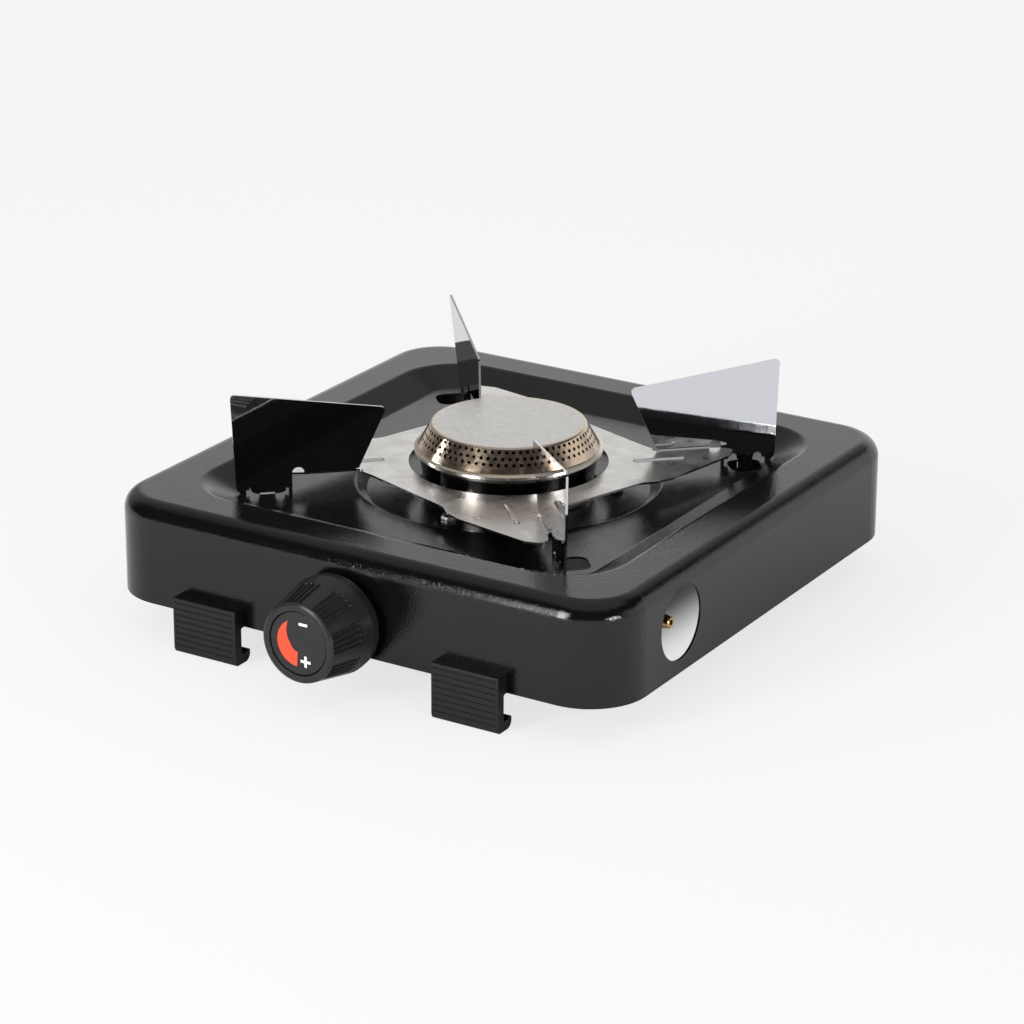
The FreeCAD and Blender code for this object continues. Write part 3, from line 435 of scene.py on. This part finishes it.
class HOB_OT_stage(bpy.types.Operator):
    """Sets up the camera, the pale floor, the softboxes and the surroundings"""

    bl_idname = "hob.stage"
    bl_label = "Stage"

    def execute(self, context):
        stage = context.scene.hob_stage
        self.camera(context, stage)
        self.surroundings(context, stage)
        self.floor(context, stage)
        self.softbox(context, "front_lamp", stage.front_lamp, **FRONT_LAMP)
        self.softbox(context, "side_lamp", stage.side_lamp, **SIDE_LAMP)
        context.scene.view_settings.view_transform = "Standard"
        return {"FINISHED"}

    def camera(self, context, stage):
        data = bpy.data.cameras.new("camera")
        data.lens = stage.lens
        data.sensor_width = SENSOR_WIDTH_MM
        data.clip_end = VIEW_REACH
        away = Vector((
            math.sin(stage.azimuth) * math.cos(stage.elevation),
            -math.cos(stage.azimuth) * math.cos(stage.elevation),
            math.sin(stage.elevation),
        ))
        right = Vector((0, 0, 1)).cross(away).normalized()
        up = away.cross(right)
        turn = Matrix.Rotation(-stage.roll, 3, away)
        rotation = Matrix((turn @ right, turn @ up, away)).transposed()
        target = Vector((CASING_MIDDLE.x, CASING_MIDDLE.y, CASING_LOW.z)) + Vector(stage.target)
        camera = bpy.data.objects.new("camera", data)
        camera.matrix_world = Matrix.Translation(target + away * stage.distance) @ rotation.to_4x4()
        context.scene.collection.objects.link(camera)
        context.scene.camera = camera

    def surroundings(self, context, stage):
        """Even light all round. Mirrors see a pale backdrop low down behind, a soft ceiling, a dark front."""
        world = bpy.data.worlds.new("studio")
        tree = Tree(world)
        x, y, z = tree.split(tree.nodes.new("ShaderNodeTexCoord").outputs["Generated"])
        behind = tree.spread(y, -0.2, 0.3, smooth=True)
        band = tree.spread(z, 0.4, 0.47, stage.backdrop, 0.0, smooth=True)
        wings = tree.spread(x, -0.72, -0.6, PALE_WING, 1.0, smooth=True)
        band = tree.product(band, wings)
        left = tree.product(tree.spread(x, 0.3, -0.1, smooth=True), LEFT_GLOW)
        ceiling = tree.spread(z, 0.76, 0.88, 0.0, CEILING_GLOW, smooth=True)
        upper = tree.math("MAXIMUM", left, ceiling)
        mirrored = tree.total(DARK_FRONT, tree.product(behind, tree.math("MAXIMUM", band, upper)))
        mirrored = tree.math("MAXIMUM", mirrored, ceiling)
        path = tree.nodes.new("ShaderNodeLightPath").outputs
        glossy = tree.math("MAXIMUM", path["Is Glossy Ray"], path["Is Transmission Ray"])
        lit = tree.spread(glossy, 0.0, 1.0, stage.sky, mirrored)
        strength = tree.spread(path["Is Camera Ray"], 0.0, 1.0, lit, stage.backdrop)
        tree.add("OutputWorld", tree.add("Background", (1, 1, 1, 1), strength))
        context.scene.world = world

    def floor(self, context, stage):
        """Pale paper that keeps the shadow, brightened where it is seen, but not far under the casing."""
        reach = FLOOR_REACH
        mesh = bpy.data.meshes.new("floor")
        corners = [(-reach, -reach, 0), (reach, -reach, 0), (reach, reach, 0), (-reach, reach, 0)]
        mesh.from_pydata(corners, [], [(0, 1, 2, 3)])
        material = bpy.data.materials.new("floor_paper")
        tree = Tree(material)
        glow = tree.add("Emission", (1, 1, 1, 1), 1.0)
        x, y, _ = tree.split(tree.nodes.new("ShaderNodeTexCoord").outputs["Object"])
        across = tree.math("ABSOLUTE", tree.math("SUBTRACT", x, CASING_MIDDLE.x))
        along = tree.math("ABSOLUTE", tree.math("SUBTRACT", y, CASING_MIDDLE.y))
        outside = tree.math("SUBTRACT", tree.math("MAXIMUM", across, along), CASING_HIGH.x)
        open_floor = tree.spread(outside, -0.065, -0.03, smooth=True)
        paper = tree.add("BsdfDiffuse", (*stage.floor, 1.0))
        far_floor = tree.spread(outside, 0.0, 0.2, smooth=True)
        path = tree.nodes.new("ShaderNodeLightPath").outputs
        mirrored = tree.math("MAXIMUM", path["Is Glossy Ray"], path["Is Transmission Ray"])
        seen = tree.product(path["Is Camera Ray"], open_floor, FLOOR_GLOW)
        share = tree.total(seen, tree.product(mirrored, far_floor, FLOOR_MIRRORED))
        tree.add("OutputMaterial", tree.add("MixShader", share, paper, glow))
        mesh.materials.append(material)
        floor = bpy.data.objects.new("floor", mesh)
        context.scene.collection.objects.link(floor)

    def softbox(self, context, name, power, direction, size):
        data = bpy.data.lights.new(name, "AREA")
        data.shape = "RECTANGLE"
        data.size, data.size_y = size
        data.energy = power
        lamp = bpy.data.objects.new(name, data)
        lamp.location = direction * LAMP_DISTANCE
        lamp.rotation_euler = (-direction).to_track_quat("-Z", "Y").to_euler()
        lamp.visible_camera = False
        context.scene.collection.objects.link(lamp)


class HOB_OT_casing(bpy.types.Operator):
    """Enamels the casing"""

    bl_idname = "hob.casing"
    bl_label = "Casing"

    def execute(self, context):
        settings = context.scene.hob_enamel
        dress(["casing"], enamel(tuple(settings.colour), settings.peel))
        return {"FINISHED"}


class HOB_OT_pan_support(bpy.types.Operator):
    """Plates the pan support"""

    bl_idname = "hob.pan_support"
    bl_label = "Pan support"

    def execute(self, context):
        metal = context.scene.hob_metal
        dress(["pan_support"], bright_plate(tuple(metal.fins), tuple(metal.plate)))
        return {"FINISHED"}


class HOB_OT_burner(bpy.types.Operator):
    """Finishes the burner cap, its bowl and the mixing tube"""

    bl_idname = "hob.burner"
    bl_label = "Burner"

    def execute(self, context):
        metal = context.scene.hob_metal
        brim = (CAP_HIGH.x - CAP_LOW.x) / 2
        cone_top = brim * CONE_TOP_SHARE
        dress(["burner_cap"], cap_metal(tuple(metal.cap_top), tuple(metal.cap_cone), cone_top, brim))
        dress(["burner_bowl", "mixing_tube"], plain_metal("bowl_steel", tuple(metal.bowl), 0.14, 0.01))
        return {"FINISHED"}


class HOB_OT_knob(bpy.types.Operator):
    """Finishes the knob, its disc and the marks on the disc"""

    bl_idname = "hob.knob"
    bl_label = "Knob"

    def execute(self, context):
        plastic = context.scene.hob_plastic
        dress(["knob"], moulded_plastic("knob_plastic", tuple(plastic.knob), 0.33))
        dress(["knob_disc"], moulded_plastic("disc_plastic", tuple(plastic.disc), 0.3, 0.0004, 0.000006))
        white = ink("white_ink", tuple(plastic.white))
        mark("mark_less", bar(LESS_CENTRE, *LESS_SIZE), white)
        mark("mark_more", plus(MORE_CENTRE, *MORE_SIZE), white)
        turn = [math.radians(angle) for angle in SWEEP_DEGREES]
        mark("mark_sweep", sweep(*SWEEP_RADII, *turn), ink("red_ink", tuple(plastic.red)))
        return {"FINISHED"}


class HOB_OT_feet(bpy.types.Operator):
    """Finishes the clip-on feet"""

    bl_idname = "hob.feet"
    bl_label = "Feet"

    def execute(self, context):
        plastic = context.scene.hob_plastic
        names = [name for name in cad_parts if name.startswith("foot_") and name != "foot_screws"]
        dress(names, moulded_plastic("foot_plastic", tuple(plastic.foot), 0.5))
        return {"FINISHED"}


class HOB_OT_gas_line(bpy.types.Operator):
    """Finishes the tap, the pipe, the hose tail and what holds them"""

    bl_idname = "hob.gas_line"
    bl_label = "Gas line"

    def execute(self, context):
        metal = context.scene.hob_metal
        brass = ["valve_cover", "valve_body", "valve_plug", "valve_spindle", "jet", "pipe_nuts", "hose_tail",
                 "hose_tail_nut"]
        zinc = ["burner_screws", "burner_nuts", "burner_bracket", "valve_screws", "hose_tail_bracket",
                "foot_screws", "plug_spring", "knob_clip"]
        dress(brass, plain_metal("brass", tuple(metal.brass), 0.24, 0.003))
        dress(zinc, plain_metal("zinc_plate", tuple(metal.zinc), 0.38, 0.005))
        dress(["gas_pipe"], plain_metal("pipe_metal", tuple(metal.pipe), 0.34, 0.006))
        return {"FINISHED"}


class HOB_PT_panel(bpy.types.Panel):
    """Lists the steps that dress the hob"""

    bl_label = "Gas Hob"
    bl_idname = "HOB_PT_panel"
    bl_space_type = "VIEW_3D"
    bl_region_type = "UI"
    bl_category = "Gas Hob"

    def draw(self, context):
        for step in STEPS:
            self.layout.operator(step.bl_idname)


STEPS = (
    HOB_OT_stage,
    HOB_OT_casing,
    HOB_OT_pan_support,
    HOB_OT_burner,
    HOB_OT_knob,
    HOB_OT_feet,
    HOB_OT_gas_line,
)
SETTINGS = {
    "hob_stage": StageSettings,
    "hob_enamel": EnamelSettings,
    "hob_metal": MetalSettings,
    "hob_plastic": PlasticSettings,
}


def register():
    for cls in (*SETTINGS.values(), *STEPS, HOB_PT_panel):
        bpy.utils.register_class(cls)
    for name, cls in SETTINGS.items():
        setattr(bpy.types.Scene, name, bpy.props.PointerProperty(type=cls))


def unregister():
    for name in SETTINGS:
        delattr(bpy.types.Scene, name)
    for cls in (HOB_PT_panel, *reversed(STEPS), *SETTINGS.values()):
        bpy.utils.unregister_class(cls)


def main():
    register()
    for step in STEPS:
        family, name = step.bl_idname.split(".")
        getattr(getattr(bpy.ops, family), name)()


if __name__ == "__main__":
    main()
